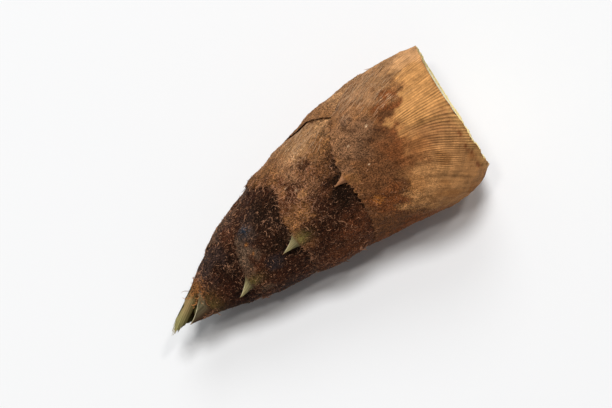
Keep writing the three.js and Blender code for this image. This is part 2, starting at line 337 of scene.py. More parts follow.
def fleshMaterial():  # the painted tint, darker round small fibre bundles and clouded by noise
    material, tree, shader = newMaterial("cutFlesh")
    place = addNode(tree, "TexCoord")["Object"]
    bundleInputs = {"Vector": place, "Scale": fleshLook["bundleScale"]}
    bundles = addNode(tree, "TexVoronoi", bundleInputs, feature="F1")["Distance"]
    cloud = addNode(tree, "TexNoise", {"Vector": place, "Scale": fleshLook["cloudScale"], "Detail": 5})[0]
    dots = ranged(tree, bundles, *fleshLook["dots"], start=0.12, end=0.34)
    clouded = ranged(tree, cloud, *fleshLook["cloud"], start=0.3, end=0.7)
    shade = calculated(tree, "MULTIPLY", dots, clouded)
    tint = attribute(tree, "tint", "Color")
    color = addNode(tree, "VectorMath", {0: tint, "Scale": shade}, operation="SCALE")[0]
    tree.links.new(color, shader.inputs["Base Color"])
    tree.links.new(bumped(tree, 0.5, 0.0002, bundles), shader.inputs["Normal"])
    shader.inputs["Roughness"].default_value = fleshLook["roughness"]
    shader.inputs["Subsurface Weight"].default_value = fleshLook["glow"]
    shader.inputs["Subsurface Radius"].default_value = fleshLook["glowRadius"]
    return material


def bristleMaterial():  # strands take their own tint
    material, tree, shader = newMaterial("bristle")
    tree.links.new(attribute(tree, "tint", "Color"), shader.inputs["Base Color"])
    shader.inputs["Roughness"].default_value = 0.55
    shader.inputs["Specular IOR Level"].default_value = 0.2
    return material


husk = huskMaterial()
flesh = fleshMaterial()
bristle = bristleMaterial()
print("materials made")

# Colours of the husk, as they are seen
tones = dict(
    # The first and darkest tone paints shade under the edges of leaves, in hollows and on the lower flank,
    # as well as the darkest hair
    shadeAndDarkHair=srgb(27, 11, 5), umber=srgb(44, 20, 11), bark=srgb(60, 31, 18), chestnut=srgb(80, 43, 24),
    brown=srgb(100, 64, 38), russet=srgb(116, 66, 34), hazel=srgb(134, 91, 54), mouse=srgb(112, 80, 56),
    fawn=srgb(142, 102, 70), buff=srgb(166, 124, 84), honey=srgb(146, 96, 52), amber=srgb(178, 128, 80),
    sand=srgb(186, 134, 80), paleSand=srgb(198, 148, 100), slate=srgb(54, 40, 36), steel=srgb(84, 66, 52),
    paleFibre=srgb(214, 172, 132), ember=srgb(112, 60, 32), leafGreen=srgb(158, 146, 104),
    moss=srgb(60, 55, 26), fern=srgb(116, 106, 58), paleGreen=srgb(164, 156, 104), silver=srgb(100, 93, 70),
    thorn=srgb(170, 120, 84), rust=srgb(176, 128, 96), smoke=srgb(66, 62, 62), night=srgb(30, 26, 30),
    blueGrey=srgb(46, 66, 84), olive=srgb(116, 84, 40), orange=srgb(158, 98, 46), crumb=srgb(214, 178, 140),
    cream=srgb(254, 242, 198), rimYellow=srgb(252, 232, 166), rimBrown=srgb(176, 128, 74),
    straw=srgb(196, 150, 92),
)

# Where the bare tan zone of the outermost leaf starts, distance from the tip at degrees from the blades
tanLine = [(-150, 176), (-90, 168), (-50, 162), (-10, 165), (10, 167), (20, 168), (28, 171),
           (40, 178), (47, 184), (62, 189), (94, 192), (130, 186), (170, 176), (210, 168)]

# How each leaf is painted: its ground, the tone at the blade's root, the blade, its shaded side and its dry
# tip, and how much curly hair shows. Stripes: the lowest brightness and the gain over it.
usualLook = dict(ground="bark", root="fern", rootStrength=0.8, rootLength=6.5, blade="leafGreen",
                 stripes=(0.78, 0.36), shaded="moss", shadedStrength=0.55, shadedSpan=(-0.4, 0.9),
                 tipStrength=0.7, furStrength=1.0)
leafLooks = {
    1: dict(usualLook, ground="brown", root="honey", rootLength=3.0, blade="thorn", shaded="chestnut",
            furStrength=0.3),
    2: dict(usualLook, ground="hazel", furStrength=0.3),
    3: dict(usualLook, ground="brown"),
    4: usualLook,
    5: dict(usualLook, rootStrength=0.55),
    6: usualLook,
    7: dict(usualLook, rootStrength=0.3, blade="silver", shaded="bark", shadedStrength=0.85,
            shadedSpan=(-1.0, 0.5)),
    8: dict(usualLook, ground="moss", rootStrength=0.15, blade="paleGreen", stripes=(0.6, 0.75),
            shadedStrength=0.85, shadedSpan=(0.3, 1.8), tipStrength=0.15),
    9: dict(usualLook, ground="moss", stripes=(0.6, 0.75), shadedStrength=0.85),
}

# Soft patches of colour on each leaf: tone, distance, degrees from the blades, half size in both. The
# darkest ones from -60 to -74 degrees on leaves 3, 5 and 7 are painted shade along the lower flank next to
# the table, together with the dark hair there, and those just under the edge of the leaf above are painted
# shade there, with dark hair.
patches = {
    1: [("hazel", 131, 13, 4, 8), ("brown", 141, 6, 6, 12), ("mouse", 142, 24, 7, 9),
        ("fawn", 141, 42, 7, 9), ("hazel", 140, 64, 8, 12), ("fawn", 151, 60, 8, 12),
        ("mouse", 151, 40, 7, 9), ("brown", 150, 2, 7, 10), ("brown", 152, 20, 7, 9),
        ("brown", 130, -34, 7, 20), ("russet", 142, -22, 6, 12), ("brown", 149, -12, 5, 8),
        ("amber", 153, -32, 6, 9), ("brown", 142, -48, 10, 9), ("russet", 164, 8, 7, 12),
        ("brown", 161, 29, 6, 7), ("hazel", 160, 46, 6, 8), ("fawn", 163, 64, 8, 12),
        ("russet", 171, 43, 6, 6), ("buff", 171, 66, 8, 10), ("hazel", 181, 47, 5, 6),
        ("amber", 164, -28, 9, 14), ("hazel", 160, -54, 10, 8), ("fawn", 168, 100, 18, 20),
        ("buff", 187, 86, 9, 12), ("russet", 150, -90, 20, 26), ("honey", 178, -90, 20, 30),
        ("brown", 150, -150, 24, 34), ("hazel", 150, 150, 30, 40)],
    2: [("hazel", 132, 80, 10, 14), ("fawn", 140, 100, 16, 20), ("mouse", 120, 150, 16, 30),
        ("brown", 140, 190, 20, 50), ("buff", 160, 96, 14, 20)],
    3: [("buff", 118, 72, 9, 16), ("buff", 134, 72, 8, 10), ("buff", 106, 99, 11, 12),
        ("fawn", 110, 52, 6, 9), ("hazel", 102, 74, 8, 12), ("hazel", 101, 14, 6, 8),
        ("chestnut", 101, 30, 6, 9), ("brown", 99, 60, 6, 12), ("chestnut", 100, 45, 5, 8),
        ("brown", 110, 31, 5, 7), ("brown", 121, 45, 4, 8), ("brown", 122, 32, 5, 7),
        ("brown", 130, 30, 5, 6), ("hazel", 132, 50, 5, 8), ("bark", 113, 15, 5, 7),
        ("umber", 119, 0, 9, 10), ("umber", 108, -8, 9, 12), ("umber", 100, -24, 8, 12),
        ("bark", 90, -38, 8, 12), ("chestnut", 112, -32, 8, 10), ("chestnut", 122, -30, 7, 10),
        ("chestnut", 126, -44, 8, 12), ("chestnut", 102, -54, 12, 12), ("chestnut", 108, -76, 16, 14),
        ("shadeAndDarkHair", 90, -74, 9, 12), ("brown", 110, -120, 20, 36), ("brown", 110, 120, 26, 36)],
    4: [("chestnut", 72, 62, 7, 10), ("bark", 84, 52, 7, 10), ("brown", 92, 72, 8, 12),
        ("fawn", 88, 96, 10, 13), ("bark", 96, 140, 20, 50), ("chestnut", 92, -140, 20, 50),
        ("bark", 94, 44, 5, 8)],
    5: [("steel", 60, 20, 5, 10), ("bark", 60, 0, 5, 10), ("slate", 70, 36, 7, 12), ("steel", 64, 30, 5, 8),
        ("bark", 60, -16, 6, 10), ("umber", 74, 6, 7, 14), ("shadeAndDarkHair", 84, 22, 8, 12), ("shadeAndDarkHair", 80, -4, 9, 12),
        ("umber", 72, -30, 10, 14), ("slate", 70, -16, 5, 7), ("umber", 86, -36, 8, 14),
        ("bark", 58, -44, 8, 14), ("umber", 74, -60, 14, 12), ("chestnut", 76, -110, 20, 40),
        ("umber", 64, 58, 8, 10), ("steel", 62, 82, 10, 9), ("umber", 76, 68, 8, 10),
        ("shadeAndDarkHair", 80, 38, 8, 12), ("umber", 86, 62, 7, 8), ("slate", 88, 84, 8, 10),
        ("shadeAndDarkHair", 74, -74, 16, 9)],
    6: [("bark", 52, 46, 6, 14), ("slate", 54, 66, 7, 12), ("umber", 50, 26, 6, 14),
        ("steel", 50, 84, 10, 12), ("bark", 60, 54, 8, 14), ("bark", 56, 160, 20, 60)],
    7: [("bark", 32, 20, 5, 16), ("umber", 41, 0, 6, 16), ("shadeAndDarkHair", 46, 30, 7, 14), ("shadeAndDarkHair", 46, 0, 7, 16),
        ("umber", 40, -34, 8, 16), ("slate", 40, 54, 6, 14), ("bark", 28, -20, 3, 20),
        ("umber", 36, -60, 8, 14), ("shadeAndDarkHair", 50, -74, 10, 12), ("slate", 38, 78, 6, 14),
        ("shadeAndDarkHair", 47, -30, 5, 10)],
    8: [("umber", 36, 50, 7, 60), ("chestnut", 30, 40, 3, 60)],
    9: [("moss", 14, 0, 8, 200)],
}

# Smaller marks over them, the last number is their strength. The darkest marks just under the edge of the
# leaf above, as beside the outermost leaf's blade, are painted shade in the hollows there, together with
# dark hair.
marks = {
    1: [("buff", 177, 92, 10, 8, 0.5), ("smoke", 150, 71, 3, 5, 0.5), ("smoke", 149, 51, 3.5, 6, 0.2),
        ("olive", 144, 99, 7, 14, 0.6), ("olive", 146, 76, 4, 8, 0.3), ("orange", 136, -15, 2.5, 4.5, 0.8),
        ("crumb", 156, 36, 0.7, 0.9, 0.9), ("crumb", 141.5, 32, 0.6, 0.8, 0.8),
        ("crumb", 144, 12, 0.5, 0.6, 0.7), ("orange", 172, 12, 4, 6, 0.4), ("ember", 183, 6, 4, 5, 0.3),
        ("orange", 158, -20, 5, 8, 0.35)],
    3: [("bark", 116.5, 47, 3.5, 8, 0.85), ("bark", 117, 31, 4, 5, 0.55), ("umber", 122, 20, 5, 4, 0.6),
        ("shadeAndDarkHair", 122, 5, 5.5, 8, 1.0), ("shadeAndDarkHair", 129, 27, 3, 5, 0.9), ("shadeAndDarkHair", 121, -3, 4, 5, 0.8),
        ("shadeAndDarkHair", 124, 10, 4, 6, 0.9), ("bark", 95, 68, 4, 8, 0.6), ("umber", 110, 15, 4, 6, 0.6),
        ("umber", 120, -17, 4, 5, 0.4), ("umber", 89, -27, 4, 7, 0.6), ("shadeAndDarkHair", 125, 14, 3.5, 6, 0.95),
        ("umber", 108, 9, 4, 5, 0.7), ("umber", 104, 33, 8, 16, 0.6), ("fawn", 112, 27, 6, 9, 0.3),
        ("buff", 109, 100, 12, 9, 0.5), ("amber", 105.5, 25, 3, 4.5, 0.6), ("fawn", 106, 48, 4, 6, 0.5),
        ("hazel", 97, 42, 3, 7, 0.6), ("hazel", 90, 13, 3, 5, 0.6), ("umber", 97, 7, 3, 5, 0.5),
        ("crumb", 104.5, 32, 0.5, 1.6, 0.8), ("crumb", 100.5, 41, 0.5, 1.0, 0.9)],
    5: [("night", 67, -67, 10, 7, 0.5), ("slate", 66, 26, 5, 8, 0.5), ("smoke", 67, 37, 4, 7, 0.55),
        ("blueGrey", 67.5, 38, 1.8, 3.0, 0.7), ("night", 70, -14, 6, 9, 0.7),
        ("orange", 64, 24, 1.2, 2.2, 0.6), ("orange", 64, 10, 0.8, 1.6, 0.6), ("shadeAndDarkHair", 77, 3, 6, 8, 0.8),
        ("shadeAndDarkHair", 84, -13, 5, 7, 0.9), ("shadeAndDarkHair", 92, 38, 3, 7, 0.8), ("steel", 55, -5, 4, 7, 0.6),
        ("steel", 57, -42, 4, 8, 0.7), ("shadeAndDarkHair", 79, 36, 5, 8, 0.7), ("shadeAndDarkHair", 70, 4, 4, 7, 0.5)],
    7: [("umber", 27, 50, 4, 20, 0.85), ("bark", 30, 10, 4, 8, 0.4), ("slate", 45, 56, 7, 16, 0.7),
        ("slate", 34, 50, 5, 20, 0.6), ("slate", 34, 16, 5, 10, 0.4), ("shadeAndDarkHair", 44, -30, 4, 12, 0.8),
        ("shadeAndDarkHair", 47, 10, 3, 8, 0.6)],
    8: [("umber", 25, 46, 3.5, 26, 0.85)],
}

# Short creases in the skin of leaf 1, painted as lines of shade: from distance and degrees to distance and
# degrees
creaseShadeLines = [(147, 55, 159, 37), (145, 45, 151, 36), (157, 31, 161, 25), (150, 30, 154, 24)]
creaseWidth = 0.45
creaseRadius = 42  # of the shoot there

# Hollows beside the blades, where the leaf below sinks: owner, distance, degrees, half size in both, depth
hollows = [(1, 124, -5, 7, 9, 1.5), (3, 83, -17, 6, 12, 1.3), (5, 47, -40, 5, 16, 1.1)]


def aroundFrom(angle, middle):  # degrees turned from the middle, -180 to 180
    return np.mod(angle - middle + 180, 360) - 180


def skinPlace(t, angle):  # three coordinates for the noise, which then has no seam round the shoot
    radius = curveThrough(shoot["outline"], t)
    return t, radius * np.cos(np.radians(angle)), radius * np.sin(np.radians(angle))


# How the fibres fan out on a leaf from a place above the blade's root
fibres = dict(meeting=55.0, pitch=0.0195, skew=16.0, bendFrom=160.0, bendOver=30.0, bend=0.3,
              spacing=0.0164)  # how far apart they stand, in millimetres for each of spread


def fibreLines(k, t, turned):
    # the fibre's number, which is the girth from the middle over the distance to where they meet, and that
    # distance; the outermost leaf's fibres bend outwards at its foot on one side
    spread = t - leaves[k - 1]["collar"] + fibres["meeting"]
    sideAngle = turned
    bending = 0
    if k == 1:
        sideAngle = turned - fibres["skew"]
        past = np.maximum(t - fibres["bendFrom"], 0) / fibres["bendOver"]
        bending = fibres["bend"] * past ** 2 * smoothStep(-sideAngle, 0, 40)
    across = np.radians(sideAngle) * curveThrough(shoot["outline"], t)
    return across / (spread * (1 + bending)) / fibres["pitch"], spread


def relief(k, here, veins):  # how far the skin stands proud, in millimetres: broad swellings, and detail
    t, fan = here["t"], here["fan"]
    place = skinPlace(t, here["angle"])
    broad = 0.42 * waves(34, 5, *place) + 0.16 * waves(12, 6, *place)
    broad = broad * smoothStep(t, 8, 50)
    for owner, hollowT, hollowAngle, sizeT, sizeAngle, depth in hollows:
        if k > owner:
            around = aroundFrom(here["angle"], hollowAngle)
            broad = broad - depth * spot(t, around, hollowT, 0, sizeT, sizeAngle)
    fine = 0.1 * waves(5, 20 + k, *place) + 0.05 * waves(2.2, 40 + k, *place)
    folds = 0.1 * waves(6, 60 + k, fan, 0.12 * t)
    ridges = 0.11 * veins * np.cos(2 * np.pi * (fan + 0.18 * waves(9, 80 + k, fan, 0.1 * t)))
    return broad, np.maximum(fine + folds + ridges, -0.25) * smoothStep(here["exposed"], -2, 4)


def paintGround(k, here, place, bentT, bentAngle):  # the ground tone, soft patches by weight, then the marks
    t, angle = here["t"], here["angle"]
    total = 0.04 + 0 * t
    color = total[..., None] * tones[leafLooks[k]["ground"]]
    for tone, patchT, patchAngle, sizeT, sizeAngle in patches[k]:
        amount = spot(bentT, aroundFrom(bentAngle, patchAngle), patchT, 0, sizeT, sizeAngle)
        color = color + amount[..., None] * tones[tone]
        total = total + amount
    color = color / total[..., None]
    for tone, markT, markAngle, sizeT, sizeAngle, strength in marks.get(k, []):
        roundish = ((t - markT) / sizeT) ** 2 + (aroundFrom(angle, markAngle) / sizeAngle) ** 2
        fraying = 0.35 * waves(3, 520 + k, *place)
        color = mixed(color, tones[tone], strength * (1 - smoothStep(roundish + fraying, 0.3, 1.6)))
    return color


def paintTanZone(color, here, place, bentT, bentAngle):
    # leaf 1 is bare and tan near its foot, with crisp fibres over the middle: colour, fibres and felt
    t, angle = here["t"], here["angle"]
    line = np.interp(aroundFrom(bentAngle, 30) + 30, *np.array(tanLine, float).T)
    crisp = smoothStep(angle, 2, 22)
    bare = smoothStep(bentT - line, -3 - 8 * (1 - crisp), 4 + 8 * (1 - crisp))
    tan = mixed(np.ones(color.shape) * tones["amber"], tones["sand"], smoothStep(bentAngle, 2, 18))
    tan = mixed(tan, tones["paleSand"], smoothStep(bentAngle, 50, 72))
    tan = mixed(tan, tones["honey"], 0.7 * smoothStep(waves(18, 11, *place), 0, 1.2) * (1 - crisp))
    tan = mixed(tan, tones["ember"], 0.35 * spot(bentT, bentAngle, 180, 3, 8, 8))
    color = mixed(color, tan, bare * (0.75 + 0.25 * crisp))
    veined = smoothStep(angle, -34, -20) * (1 - 0.7 * smoothStep(angle, 22, 36)) * smoothStep(t, 164, 176)
    veins = 0.15 + 0.85 * bare * veined * (0.6 + 0.4 * smoothStep(waves(16, 7, *place), -0.6, 0.4))
    veins = np.maximum(veins, (0.6 - 0.3 * bare) * spot(t, angle, 168, 80, 22, 26))
    felt = (1 - 0.75 * bare) * (1 - 0.35 * smoothStep(t, 146, 160)) * (1 - 0.4 * smoothStep(angle, 45, 65))
    return color, veins, felt


def paintCreaseShade(color, here, place):  # painted shade of the creases: dark lines, by the distance from each stretch between two places
    t, angle = here["t"], here["angle"]
    for firstT, firstAngle, lastT, lastAngle in creaseShadeLines:
        lengthT, lengthAround = lastT - firstT, np.radians(lastAngle - firstAngle) * creaseRadius
        placeT, placeAround = t - firstT, np.radians(angle - firstAngle) * creaseRadius
        along = (placeT * lengthT + placeAround * lengthAround) / (lengthT ** 2 + lengthAround ** 2)
        share = np.clip(along, 0, 1)
        away = np.hypot(placeT - share * lengthT, placeAround - share * lengthAround)
        away = away + 0.3 * waves(5, 530, *place)
        color = mixed(color, tones["umber"], 0.65 * np.exp(-(away / creaseWidth) ** 2))
    return color


def paintRim(color, here, place):  # browned where the knife went through, with a pale band on the lower side
    rimDistance = here["foot"] - here["t"]
    lower = 1 - smoothStep(here["angle"], 0, 24)
    stained = smoothStep(waves(9, 8, *place) + 0.5 * waves(3, 9, *place), -0.4, 1.2)
    color = mixed(color, tones["ember"], 0.9 * stained * lower * np.exp(-((rimDistance - 4.6) / 1.3) ** 2))
    color = mixed(color, tones["straw"], 0.55 * lower * np.exp(-(rimDistance / 3.2) ** 4))
    return mixed(color, tones["ember"], 0.5 * stained * np.exp(-(rimDistance / 1.2) ** 2))


def paintShade(k, color, here):  # painted shade, with the dark of the hair there, where the leaf comes out from under the one above
    t, angle = here["t"], here["angle"]
    if k == 1:
        return color
    nearCover = np.exp(-np.maximum(here["exposed"], 0) / 3.0)
    amount = 0.75 * nearCover * smoothStep(t, 8, 20) * (1 - smoothStep(angle, 34, 50))
    if k == 3:
        amount = amount * (0.35 + 0.65 * smoothStep(angle, -20, -8))
    color = mixed(color, tones["shadeAndDarkHair"], amount)
    if k == 3:  # and along its own top edge on one side of the blade
        nearEdge = np.exp(-(np.maximum(here["below"], 0) / 1.8) ** 2)
        color = mixed(color, tones["umber"], 0.55 * nearEdge * smoothStep(angle, 14, 24))
    return color


def paintFibres(k, color, here, place):  # streaks along the fibres, a mottle, and pale lines on two leaves
    t, angle, fan = here["t"], here["angle"], here["fan"]
    streak = 0.10 * waves(2.6, 180 + k, fan, 0.06 * t) + 0.07 * waves(0.9, 200 + k, fan, 0.1 * t)
    mottle = 0.08 * waves(7, 220 + k, *place) + 0.06 * waves(2.4, 240 + k, *place)
    color = color * np.clip(1 + streak + mottle, 0.4, 1.7)[..., None]
    if k == 1:
        combed = spot(t, angle, 168, 72, 22, 18) + spot(t, angle, 176, 44, 8, 10)
    elif k == 3:
        combed = spot(t, angle, 120, 70, 13, 20)
    else:
        return color
    lines = smoothStep(waves(0.55, 280 + k, fan + 0.02 * t), 0.3, 1.1)
    lines = lines * smoothStep(waves(5, 290 + k, fan, 0.15 * t), -0.4, 0.8)
    return mixed(color, tones["paleFibre"], 0.95 * combed * lines)


def bladeColor(k, here, over):
    # the blade's tone, striped lengthwise, darker on its shaded side and at its root, dry at its tip
    look, share = leafLooks[k], here["bladeShare"]
    stripes = 0.5 + 0.5 * waves(0.5, 260 + k, over)
    color = tones[look["blade"]] * (look["stripes"][0] + look["stripes"][1] * stripes)[..., None]
    if k in (3, 5):
        color = color * (0.66 + 0.46 * smoothStep(share, 0.1, 0.8))[..., None]
    if k == 8:
        color = mixed(color, tones["fawn"], 0.6 * smoothStep(share, 0.8, 0.25))
    darkSide = smoothStep(-over, *look["shadedSpan"])
    color = mixed(color, tones[look["shaded"]], look["shadedStrength"] * darkSide)
    if k in (3, 5, 7):  # a pale line along the lit edge
        edgeLine = 0.6 * smoothStep(here["bladeTop"] - share, 0.07, 0.01) * (over > 0)
        color = mixed(color, tones["cream"], edgeLine * smoothStep(share, 0.2, 0.45))
    if k == 8:  # painted shade in the slits between the strap's strands
        slits = smoothStep(waves(0.45, 262, over), 0.2, 0.9) * smoothStep(share, 0.3, 0.95)
        color = mixed(color, tones["moss"], 0.8 * slits)
    return mixed(color, tones["straw"], smoothStep(share, 0.85, 1.0) * look["tipStrength"])


def paintLeaf(k, here):
    # colour, and how strongly fibres, felt and fur show at each point; noise bends the patches' outlines
    look = leafLooks[k]
    t, angle = here["t"], here["angle"]
    place = skinPlace(t, angle)
    bentT = t + 2.6 * waves(14, 100 + k, *place) + 1.0 * waves(4, 120 + k, *place)
    bend = 2.6 * waves(14, 140 + k, *place) + 1.0 * waves(4, 160 + k, *place)
    bentAngle = angle + bend / curveThrough(shoot["outline"], t) * 57  # about the degrees in a radian
    color = paintGround(k, here, place, bentT, bentAngle)
    veins = 0.22 * np.ones(t.shape)
    felt = np.ones(t.shape)
    if k == 1:
        color, veins, felt = paintTanZone(color, here, place, bentT, bentAngle)
        color = paintCreaseShade(color, here, place)
        color = paintRim(color, here, place)
    if k == 3:
        combedZone = spot(t, angle, 120, 72, 12, 20)
        veins = 0.2 + 0.8 * combedZone
        felt = 1 - 0.7 * combedZone
    color = paintShade(k, color, here)
    color = paintFibres(k, color, here, place)
    over = here["across"] * np.sign(here["turned"])
    root = np.exp(-(np.maximum(here["below"], 0) / look["rootLength"]) ** 2)
    root = root * np.exp(-((over + 0.2) / 1.2) ** 2) * (here["bladeShare"] <= 0)
    color = mixed(color, tones[look["root"]], look["rootStrength"] * root)
    felt = felt * (1 - 0.5 * root)
    color = mixed(color, bladeColor(k, here, over), smoothStep(here["bladeShare"], -0.02, 0.12))
    clumped = 0.35 + 0.65 * smoothStep(waves(11, 540 + k, *place), -1.0, 0.6)
    fur = look["furStrength"] * felt * clumped * (here["bladeShare"] <= 0)
    return color, veins, felt, fur


def raggedRim(k, angle):  # the husk stands a little proud of the flesh, notched, but not where cut clean
    clean = np.exp(-(aroundFrom(angle, 33) / 25) ** 4)
    notches = np.minimum(0.35 * waves(26, 500 + k, angle) + 0.15 * waves(6, 510 + k, angle), 0.4)
    return (0.9 + notches) * (1 - clean) * (1.0 if k == 1 else 0.5)


# The shells of the leaves, in millimetres unless said otherwise
shell = dict(
    liningStep=4,  # the inside has a quarter of the rows
    wall=0.3, topThinning=0.1, footThickening=0.2,
    bladeLift=1.1, crown=0.5,  # how far the blade's root stands off, and how round the blade's back is
    tucked=0.85,  # how far the top edge beside the blade is drawn in
    lifted=0.4,  # how far the skin swells once it is out from under the leaf above
    fleshyFrom=188, fleshyTo=199,  # near the cut the husk is thick and reaches the next leaf
)


def topEdge(k, turned, halfWidth):
    # distance of the torn top edge from the tip, half widths from the blade's middle, and the blade's length
    leaf = leaves[k - 1]
    girth = curveThrough(shoot["outline"], leaf["collar"]) * np.radians(turned)
    torn = 0.25 * waves(5, 300 + k, girth) + 0.12 * waves(1.6, 320 + k, girth)
    across = np.abs(turned) / halfWidth
    edge = shoulder(leaf, turned) + torn * smoothStep(across, 1.2, 2.5)
    split = 1
    if leaf["taper"] < 0.5:  # a strap's end is split into strands of different lengths
        split = (1 + 0.07 * waves(1.0, 340 + k, girth)) * (1 + 0.05 * turned / halfWidth)
    return edge, across, leaf["blade"] * np.maximum(1 - across / 2, 0) ** leaf["taper"] * split


def leafColumns(leaf, halfWidth):  # degrees from the middle, crowded over the blade and at a strap's sides
    samples = np.linspace(-shoot["margin"], leaf["leftEnd"], 4001)
    sides = 8 * np.exp(-((np.abs(samples) / halfWidth - 1.97) / 0.1) ** 2) * (leaf["taper"] < 1)
    crowding = np.cumsum(1 + 2.5 * np.exp(-(samples / halfWidth / 1.6) ** 2) + sides)
    return np.interp(np.linspace(crowding[0], crowding[-1], leaf["columns"] + 1), crowding, samples)[None, :]


def shellFaces(rows, columns):  # skin, lining, and the rims that join them at top, foot and both margins
    step = shell["liningStep"]
    number = np.arange((rows + 1) * (columns + 1)).reshape(-1, columns + 1)
    inside = number.size + np.arange((rows // step + 1) * (columns + 1)).reshape(-1, columns + 1)
    outward = np.stack([number[:-1, :-1], number[:-1, 1:], number[1:, 1:], number[1:, :-1]], -1)
    inward = np.stack([inside[:-1, :-1], inside[1:, :-1], inside[1:, 1:], inside[:-1, 1:]], -1)
    topRim = np.stack([number[0, :-1], inside[0, :-1], inside[0, 1:], number[0, 1:]], -1)
    footRim = np.stack([number[-1, :-1], number[-1, 1:], inside[-1, 1:], inside[-1, :-1]], -1)
    start = np.arange(rows // step)[:, None] * step
    down = number[start + np.arange(step), 0]
    up = number[start + np.arange(step, -1, -1), -1]
    firstSide = np.concatenate([number[start + step, 0], inside[1:, :1], inside[:-1, :1], down], 1)
    lastSide = np.concatenate([up, inside[:-1, -1:], inside[1:, -1:]], 1)
    return [outward.reshape(-1, 4), inward.reshape(-1, 4), topRim, footRim, firstSide, lastSide]


leafSurfaces = {}


def makeLeaf(k):
    # a thin closed shell: columns round the shoot and rows from the top edge to the foot; its radius is the
    # layer's, raised at the blade's root, drawn in beside it and swollen by the relief
    leaf = leaves[k - 1]
    halfWidth = np.degrees(leaf["half"] / curveThrough(shoot["outline"], leaf["collar"]))
    turned = leafColumns(leaf, halfWidth)
    angle = leaf["middle"] + turned
    edge, across, blade = topEdge(k, turned, halfWidth)
    top = edge - blade
    if leaf["foot"]:
        foot = leaf["foot"] + 0 * turned
    else:
        foot = cutDistance(angle, layerRadius(k, shoot["cutLength"], turned)) + raggedRim(k, angle)
    down = np.linspace(0, 1, leaf["rows"] + 1)[:, None]
    t = top + (foot - top) * (leaf["rowEven"] * down + (1 - leaf["rowEven"]) * down ** 2)
    below = t - edge
    outOnBlade = np.maximum(-below, 0)
    bladeShare = np.where(outOnBlade > 0, outOnBlade / leaf["blade"], -0.01)
    exposed = coverEdge(k, angle) - t
    fan, spread = fibreLines(k, t, turned)
    here = dict(t=t, turned=turned + 0 * t, angle=angle + 0 * t, below=below, exposed=exposed, fan=fan,
                foot=foot, across=across + 0 * t, bladeShare=bladeShare,
                bladeTop=blade / leaf["blade"] + 0 * t)
    color, veins, felt, fur = paintLeaf(k, here)
    veins = veins * smoothStep(spread * fibres["spacing"], 0.8, 1.5) * (bladeShare <= 0)
    felt = felt * (1 - smoothStep(bladeShare, -0.01, 0.1))

    nearEdge = np.maximum(below, 0)
    middle = np.exp(-(across / 1.6) ** 2)
    standOff = shell["bladeLift"] * np.exp(-nearEdge / 7) * middle
    crown = shell["crown"] * np.maximum(1 - across ** 2, 0) * smoothStep(bladeShare, -0.01, 0.2)
    crown = crown * (1 - smoothStep(bladeShare, 0.7, 1))
    sheathT = np.maximum(t, edge)
    outer = layerRadius(k, sheathT, turned) - leaf["fall"] * outOnBlade + standOff + crown
    if k < 9:
        outer = outer - shell["tucked"] * np.exp(-nearEdge / 8) * (1 - middle)
    if k > 1:
        outer = outer + shell["lifted"] * smoothStep(exposed, 0, 4)
    broad, detail = relief(k, here, veins)
    aboveFoot = smoothStep(foot - t, 0, 6)
    outer = outer + broad * aboveFoot
    detail = detail * aboveFoot
    swing = np.degrees(leaf["lean"] * outOnBlade / leaf["blade"] / np.maximum(outer, 3))
    if "widen" in leaf:  # a strap as wide at its end as at its root
        narrowing = layerRadius(k, leaf["collar"], 0.0) / np.maximum(outer, 2) - 1
        swing = swing - leaf["widen"] * turned * smoothStep(outOnBlade, 0, 3) * narrowing

    thick = thickening(sheathT) * (shell["wall"] - shell["topThinning"] * np.exp(-nearEdge / 3)) + crown
    toNext = aroundFrom(angle, leaves[min(k, 8)]["middle"]) - turned
    gap = thickening(t) * (1 + shoot["wrapPitch"] * toNext / 360)
    fleshy = smoothStep(t, shell["fleshyFrom"], shell["fleshyTo"])
    if k < 5:
        thick = thick + (np.clip(gap - 0.12, 0.3, 1.2) - thick) * fleshy * 0.97
    thick = thick + shell["footThickening"] * smoothStep(below, 0, 4) * (1 - fleshy)
    skin = pointAt(t, angle - swing, outer + detail)[0]
    lining = pointAt(t, angle - swing, outer - thick)[0]
    skin[..., 2] = np.maximum(skin[..., 2], 0.02)
    lining[..., 2] = np.maximum(lining[..., 2], 0.08)

    inner = slice(None, None, shell["liningStep"])
    points = np.concatenate([skin.reshape(-1, 3), lining[inner].reshape(-1, 3)])
    liningColor = np.ones(lining[inner].shape) * tones["brown"]
    liningColor = mixed(liningColor, tones["moss"], (bladeShare[inner] > 0) * 1.0)
    liningColor = mixed(liningColor, tones["rimYellow"], fleshy[inner])
    colors = np.concatenate([color.reshape(-1, 3), liningColor.reshape(-1, 3)])
    unmarked = np.zeros(t[inner].size)
    values = {key: np.concatenate([value.ravel(), unmarked])
              for key, value in dict(veins=veins, felt=felt, fur=fur).items()}
    fibrePlace = np.stack([fan, spread / 10], -1)
    uv = np.concatenate([fibrePlace.reshape(-1, 2), fibrePlace[inner].reshape(-1, 2)])
    faces = shellFaces(t.shape[0] - 1, t.shape[1] - 1)
    piece = makePiece(f"leaf{k}", points, faces, husk, colors, values, uv)
    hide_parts(f"husk_leaf_{k}")
    leafSurfaces[k] = dict(here, skin=skin, color=color, felt=felt)


for k in range(1, 10):
    makeLeaf(k)
print("leaves made")


# The heart, with the fresh cut at its thick end
heart = dict(tip=15.0, columns=240, sideRows=44, sideEnd=196, capRings=56, kerf=0.10, ledge=0.39)


def heartRadius(t):  # the radius of the layer under the leaves that lie over it, with a ledge at each foot
    covering = sum(np.where((leaf["foot"] or 1e6) > t, 1, 0) for leaf in leaves)
    radii = [layerRadius(n + 1, t, 90.0) for n in range(4, 10)]
    return np.maximum(np.choose(covering - 4, radii), 0)


